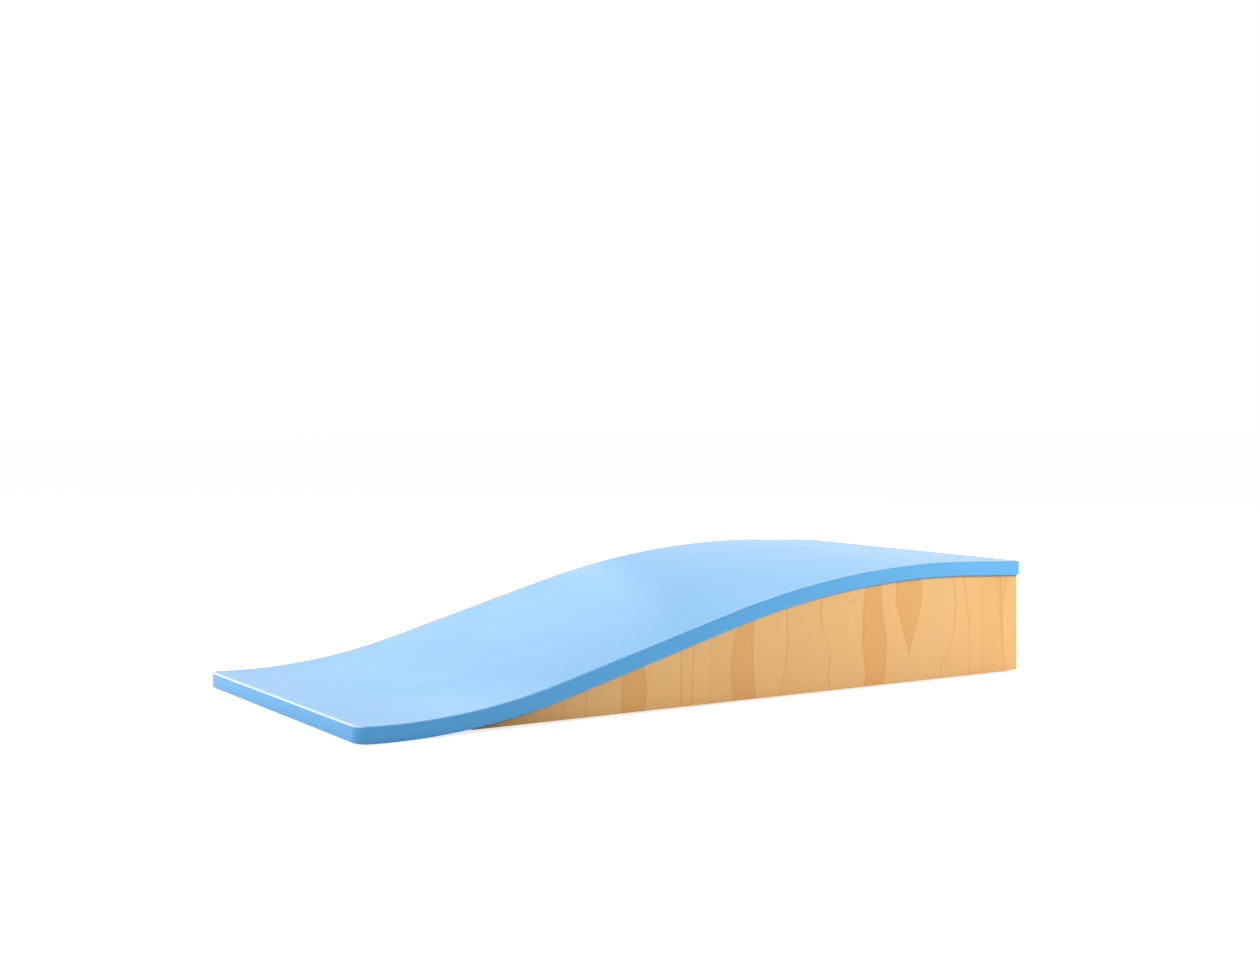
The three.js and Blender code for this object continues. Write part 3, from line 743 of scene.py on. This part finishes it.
def make_board():
    """The S-curved board: strips on top and underneath, joined by rings over its rounded edge."""
    steps_across = 24
    bm = bmesh.new()
    edge_layer = bm.verts.layers.float.new("edge")
    lip_highlight_layer = bm.verts.layers.float.new("lip")

    def vertex(x, y, depth, worn=0.0, lip=0.0):
        made = bm.verts.new((x - BOARD_LENGTH / 2, y, section.height(x, depth)))
        made[edge_layer] = worn
        made[lip_highlight_layer] = lip
        return made

    def outline(inset_rule, depth_rule, worn, underneath):
        def edge_vertex(x, y, facing, side):
            blend = abs(facing[0])
            rounding = SIDE_EDGE_ROUND + (END_EDGE_ROUND - SIDE_EDGE_ROUND) * blend
            inset = inset_rule[0] * rounding + inset_rule[1]
            depth = depth_rule[0] * rounding + depth_rule[1]
            # The top rings at the low end carry the painted highlight, following the same ring value as
            # the edge wear.
            lip = 0.0 if underneath else worn * max(0.0, -facing[0])
            if underneath:
                depth = BOARD_THICKNESS - depth
            return vertex(x - facing[0] * inset, side * (y - facing[1] * inset), depth, worn, lip)

        near = [edge_vertex(*point, 1) for point in board_outline()]
        far = [edge_vertex(*point, -1) for point in board_outline()]
        start = PLAN_CORNER_RADIUS - BOARD_WIDTH / 2
        inner = [start * (1 - 2 * j / steps_across) for j in range(1, steps_across)]
        low_end = [edge_vertex(0.0, y, (-1.0, 0.0), 1) for y in inner]
        high_end = [edge_vertex(BOARD_LENGTH, y, (1.0, 0.0), 1) for y in inner]
        return near, far, low_end, high_end

    def loop(ring):
        near, far, low_end, high_end = ring
        return near + high_end + far[::-1] + low_end[::-1]

    made = [outline(*ring) for ring in board_rings()]
    for upper, lower in zip(made, made[1:]):
        above, below = loop(upper), loop(lower)
        for i in range(len(above)):
            k = (i + 1) % len(above)
            bm.faces.new((above[i], below[i], below[k], above[k]))

    def cover(ring, depth, upwards):
        near, far, low_end, high_end = ring
        rows = [[near[0]] + low_end + [far[0]]]
        for i in range(1, len(near) - 1):
            x = near[i].co.x + BOARD_LENGTH / 2
            y = near[i].co.y
            inner = [vertex(x, y * (1 - 2 * j / steps_across), depth) for j in range(1, steps_across)]
            rows.append([near[i]] + inner + [far[i]])
        rows.append([near[-1]] + high_end + [far[-1]])
        for a, b in zip(rows, rows[1:]):
            for j in range(steps_across):
                face = (a[j], b[j], b[j + 1], a[j + 1])
                bm.faces.new(face if upwards else face[::-1])

    cover(made[0], 0.0, True)
    cover(made[-1], BOARD_THICKNESS, False)
    mesh = mesh_from(bm, "transfer board")
    smooth(mesh)
    return mesh


def make_cheek(node):
    """One side panel: a sheet cut to the board's curve, with eased edges, from columns of points. Its
    points carry a painted shade at the thin tip and a painted contact shadow under the board.
    """
    steps = 100
    low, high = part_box(node)
    ease = CHEEK_EDGE_EASE
    nose = low.x + BOARD_LENGTH / 2
    tail = high.x + BOARD_LENGTH / 2
    stations = [nose, nose + ease]
    stations += [nose + (tail - nose) * i / steps for i in range(1, steps)]
    stations += [tail - ease, tail]
    bm = bmesh.new()
    tip_shade_layer = bm.verts.layers.float.new("tip_shade")
    contact_shade_layer = bm.verts.layers.float.new("contact_shade")

    def sheet(face_y, eased_y):
        columns = []
        for i, x in enumerate(stations):
            top = section.height(x, BOARD_THICKNESS)
            tall = top - low.z
            chamfer = min(ease, 0.2 * tall)
            below = min(CONTACT_SHADE_DEPTH, 0.45 * tall)
            # The top rows carry a painted contact shadow, darkest where the cheek meets the board.
            levels = [
                (low.z, 0.0),
                (low.z + chamfer, 0.0),
                (low.z + 0.5 * tall, 0.0),
                (top - 1.2 * below, 0.0),
                (top - below, 0.22),
                (top - chamfer, 0.9),
                (top, 1.0),
            ]
            # Painted shade: strongest at the thin tip, gone at its reach.
            tip_shade = max(0.0, 1.0 - (x - nose) / TIP_SHADE_REACH) ** 2.4
            column = []
            for j, (z, contact_shade) in enumerate(levels):
                at_rim = i in (0, len(stations) - 1) or j in (0, len(levels) - 1)
                vertex = bm.verts.new((x - BOARD_LENGTH / 2, eased_y if at_rim else face_y, z))
                vertex[tip_shade_layer] = tip_shade
                vertex[contact_shade_layer] = contact_shade
                column.append(vertex)
            columns.append(column)
        for left, right in zip(columns, columns[1:]):
            for j in range(len(left) - 1):
                bm.faces.new((left[j], right[j], right[j + 1], left[j + 1]))
        rim = [column[0] for column in columns] + columns[-1][1:]
        rim += [column[-1] for column in columns[-2::-1]] + columns[0][-2:0:-1]
        return rim

    one = sheet(low.y, low.y + ease)
    other = sheet(high.y, high.y - ease)
    for i in range(len(one)):
        k = (i + 1) % len(one)
        bm.faces.new((one[i], one[k], other[k], other[i]))
    bmesh.ops.recalc_face_normals(bm, faces=bm.faces)
    return mesh_from(bm, node)


def turned_mesh(name, profile, sides, centre):
    """A round solid about an upright axis, from (radius, height) pairs; its ends are on the axis."""
    bm = bmesh.new()
    rings = []
    for radius, z in profile:
        if radius == 0:
            rings.append([bm.verts.new((centre.x, centre.y, z))])
        else:
            ring = []
            for i in range(sides):
                turn = math.tau * i / sides
                x = centre.x + radius * math.cos(turn)
                y = centre.y + radius * math.sin(turn)
                ring.append(bm.verts.new((x, y, z)))
            rings.append(ring)
    for lower, upper in zip(rings, rings[1:]):
        for i in range(sides):
            k = (i + 1) % sides
            corners = [lower[i % len(lower)], lower[k % len(lower)]]
            corners += [upper[k % len(upper)], upper[i % len(upper)]]
            bm.faces.new(list(dict.fromkeys(corners)))
    mesh = mesh_from(bm, name)
    smooth(mesh)
    return mesh


def make_foot(node):
    """A rubber pad with a rounded rim and two shallow grip rings in its underside."""
    sides = 72
    steps_over_rim = 4
    top_ease = 0.1 * MM
    low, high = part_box(node)
    radius = (high.x - low.x) / 2
    centre = (low + high) / 2
    sunk = low.z + FOOT_GROOVE
    profile = [(0.0, sunk), (0.28 * radius, sunk), (0.32 * radius, low.z)]
    profile += [(0.55 * radius, low.z), (0.58 * radius, sunk)]
    profile += [(0.66 * radius, sunk), (0.69 * radius, low.z)]
    for i in range(steps_over_rim + 1):
        turn = math.pi / 2 * i / steps_over_rim
        out = radius - FOOT_RIM + FOOT_RIM * math.sin(turn)
        profile.append((out, low.z + FOOT_RIM - FOOT_RIM * math.cos(turn)))
    profile += [(radius, high.z - top_ease), (radius - top_ease, high.z), (0.0, high.z)]
    return turned_mesh(node, profile, sides, centre)


def make_grip_strip():
    """The lip's rubber strip, with fine ribs along its length on the side that meets the floor."""
    low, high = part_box("grip_strip")
    pitch = (high.x - low.x) / GRIP_RIBS
    sunk = low.z + GRIP_RIB_DEPTH
    outline = [(high.x, high.z), (low.x, high.z)]
    for i in range(GRIP_RIBS):
        left = low.x + pitch * i
        start = low.z + GRIP_RIB_DEPTH * 0.4 if i == 0 else sunk
        outline += [(left, start), (left + 0.15 * pitch, low.z)]
        outline += [(left + 0.72 * pitch, low.z), (left + 0.86 * pitch, sunk)]
    outline.append((high.x, sunk))
    bm = bmesh.new()
    near = [bm.verts.new((x, low.y, z)) for x, z in outline]
    far = [bm.verts.new((x, high.y, z)) for x, z in outline]
    bm.faces.new(near)
    bm.faces.new(far[::-1])
    for i in range(len(outline)):
        k = (i + 1) % len(outline)
        bm.faces.new((near[i], far[i], far[k], near[k]))
    bmesh.ops.recalc_face_normals(bm, faces=bm.faces)
    return mesh_from(bm, "grip strip")


def ease_edges(piece):
    """Sanded arrises on a piece that keeps its CAD shape."""
    weld = piece.modifiers.new("weld", "WELD")
    weld.merge_threshold = 0.01 * MM
    bevel = piece.modifiers.new("eased edges", "BEVEL")
    bevel.width = CAD_EDGE_EASE
    bevel.segments = 2
    bevel.limit_method = "ANGLE"
    bevel.angle_limit = math.radians(40)


def finish_cad(node, material, eased=True):
    """Gives a CAD piece that stays in sight its finish."""
    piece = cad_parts[node]
    piece.data.materials.clear()
    piece.data.materials.append(material)
    if eased:
        ease_edges(piece)


# ---------------------------------------------------------------------------
# The object
# ---------------------------------------------------------------------------
def build_board():
    """The blue sheet that the person slides on."""
    new_piece("board_sheet", make_board(), blue_sheet(), "blue_board", "transfer_board")


def build_wedge():
    """The plywood wedge under the board, each panel from its own part of a sheet."""
    for side, turned in (("near", False), ("far", True)):
        node = f"side_panel_{side}"
        low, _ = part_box(node)
        cheek = plywood(f"cheek plywood {side}", "y", "z", low.y, PANEL_THICKNESS, PANEL_PLIES,
                        figure=cheek_figure(turned), sheet=1.0 + turned)
        new_piece(f"cheek_{side}", make_cheek(node), cheek, "birch_plywood", node)
    for number, node in enumerate(("rib_1", "rib_2", "rib_3", "end_panel")):
        low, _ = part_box(node)
        panel = plywood(f"{node} plywood", "x", "z", low.x, PANEL_THICKNESS, PANEL_PLIES,
                        sheet=3.0 + number)
        finish_cad(node, panel)
    low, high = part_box("base_panel")
    base = plywood("base plywood", "z", "x", low.z, high.z - low.z, BASE_PLIES, sheet=9.0)
    finish_cad("base_panel", base)
    finish_cad("toe_wedge", hardwood("toe beech", "y", log=11.0))


def build_fixings():
    """The blocks, dowels and screws inside the wedge."""
    block_wood = hardwood("block beech", "x", log=13.0)
    dowel_wood = hardwood("dowel beech", "y", log=17.0)
    steel = zinced_steel()
    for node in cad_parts:
        if node.startswith("fixing_block"):
            finish_cad(node, block_wood)
        elif node.startswith("dowel"):
            finish_cad(node, dowel_wood, eased=False)
        elif "_screw_" in node:
            finish_cad(node, steel, eased=False)


def build_rubber():
    """The feet and the strip under the low lip."""
    rubber = black_rubber()
    for node in sorted(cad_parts):
        if node.startswith("foot_"):
            new_piece(f"{node}_pad", make_foot(node), rubber, "black_rubber", node)
    new_piece("lip_grip", make_grip_strip(), rubber, "black_rubber", "grip_strip")


# ---------------------------------------------------------------------------
# Studio
# ---------------------------------------------------------------------------
FLOOR_LIFT = 0.75  # how much of the floor's white is its own, so that shadows on it stay pale
GLOSS_LIFT = 0.45  # the same for what shines on the object, where the floor is plain white
SKY_LEVEL = 0.32
FLOOR_REACH = 14.0
FLOOR_GREY = (0.72, 0.72, 0.72, 1.0)
WHITE = (1.0, 1.0, 1.0, 1.0)
CAMERA_PLACE = (-0.94636, -1.48611, 0.27369)
CAMERA_TURN = math.radians(57.448)  # which way it looks in plan, from +X towards +Y
CAMERA_LENS = 49.625
CAMERA_SENSOR = 36.0
LENS_DROP = -0.0637


def build_floor():
    """A floor that is white to the camera but keeps the object's shadow."""
    reach = FLOOR_REACH
    bm = bmesh.new()
    corners = [(-reach, -reach), (reach, -reach), (reach, reach), (-reach, reach)]
    bm.faces.new([bm.verts.new((x, y, 0.0)) for x, y in corners])
    mesh = mesh_from(bm, "floor")
    floor = bpy.data.objects.new("floor", mesh)
    bpy.context.scene.collection.objects.link(floor)
    material, n, surface = new_material("white floor")
    surface.inputs["Base Color"].default_value = FLOOR_GREY
    surface.inputs["Roughness"].default_value = 1.0
    surface.inputs["Specular IOR Level"].default_value = 0.0
    surface.inputs["Emission Color"].default_value = WHITE
    path = n.add("ShaderNodeLightPath").outputs
    in_gloss = n.math("MAXIMUM", path["Is Glossy Ray"], path["Is Transmission Ray"])
    to_gloss = n.math("MULTIPLY", in_gloss, GLOSS_LIFT)
    to_camera = n.math("MULTIPLY", path["Is Camera Ray"], FLOOR_LIFT)
    n.put(surface.inputs["Emission Strength"], n.math("MAXIMUM", to_camera, to_gloss))
    mesh.materials.append(material)


def build_world():
    """An even sky for light, and plain white for what the camera and the gloss see."""
    world = bpy.data.worlds.new("studio")
    bpy.context.scene.world = world
    world.use_nodes = True
    n = Nodes(world.node_tree)
    output = world.node_tree.nodes["World Output"]
    lighting = world.node_tree.nodes["Background"]
    lighting.inputs["Color"].default_value = WHITE
    lighting.inputs["Strength"].default_value = SKY_LEVEL
    path = n.add("ShaderNodeLightPath").outputs
    in_gloss = n.math("MAXIMUM", path["Is Glossy Ray"], path["Is Transmission Ray"])
    backdrop = n.add("ShaderNodeBackground")
    backdrop.inputs["Color"].default_value = WHITE
    backdrop.inputs["Strength"].default_value = 1.0
    choose = n.add("ShaderNodeMixShader")
    n.put(choose.inputs[0], n.math("MAXIMUM", path["Is Camera Ray"], in_gloss))
    n.put(choose.inputs[1], lighting.outputs[0])
    n.put(choose.inputs[2], backdrop.outputs[0])
    n.put(output.inputs["Surface"], choose.outputs[0])


def softbox(name, place, aim, width, height, power, in_gloss=True):
    """A soft lamp at a place, turned to what it lights, its size in metres and power in watts."""
    light = bpy.data.lights.new(name, "AREA")
    light.shape = "RECTANGLE"
    light.size = width
    light.size_y = height
    light.energy = power
    lamp = bpy.data.objects.new(name, light)
    bpy.context.scene.collection.objects.link(lamp)
    lamp.visible_camera = False
    lamp.visible_glossy = in_gloss
    lamp.location = place
    lamp.rotation_euler = (Vector(aim) - Vector(place)).to_track_quat("-Z", "Y").to_euler()


def build_lights():
    """Broad light from above and each side, with small panels for the sheen and the low lip."""
    softbox("overhead softbox", (1.1, 0.7, 1.8), (0.0, 0.0, 0.05), 2.0, 1.4, 37.0)
    softbox("low end softbox", (-1.9, 0.3, 0.7), (-0.2, 0.0, 0.05), 1.0, 1.0, 18.5, in_gloss=False)
    softbox("near side softbox", (0.55, -1.1, 0.45), (0.7, -0.18, 0.06), 0.9, 0.6, 6.2, in_gloss=False)
    softbox("edge softbox", (-0.9, 2.0, 0.55), (-0.375, 0.0, 0.015), 1.4, 0.8, 5.0)
    softbox("sheen panel", (0.5, 2.1, 0.82), (-0.15, 0.0, 0.03), 1.1, 0.45, 1.1)
    softbox("near side strip", (1.3, -1.05, 0.08), (0.3, -0.18, 0.11), 0.7, 0.14, 1.0)


def build_camera():
    """A level camera with its lens dropped, so that upright edges stay upright."""
    data = bpy.data.cameras.new("camera")
    camera = bpy.data.objects.new("camera", data)
    bpy.context.scene.collection.objects.link(camera)
    bpy.context.scene.camera = camera
    camera.location = CAMERA_PLACE
    camera.rotation_euler = (math.pi / 2, 0.0, CAMERA_TURN - math.pi / 2)
    data.sensor_width = CAMERA_SENSOR
    data.lens = CAMERA_LENS
    data.shift_y = LENS_DROP


build_board()
build_wedge()
build_fixings()
build_rubber()
build_floor()
build_world()
build_lights()
build_camera()
bpy.context.scene.view_settings.view_transform = "Standard"
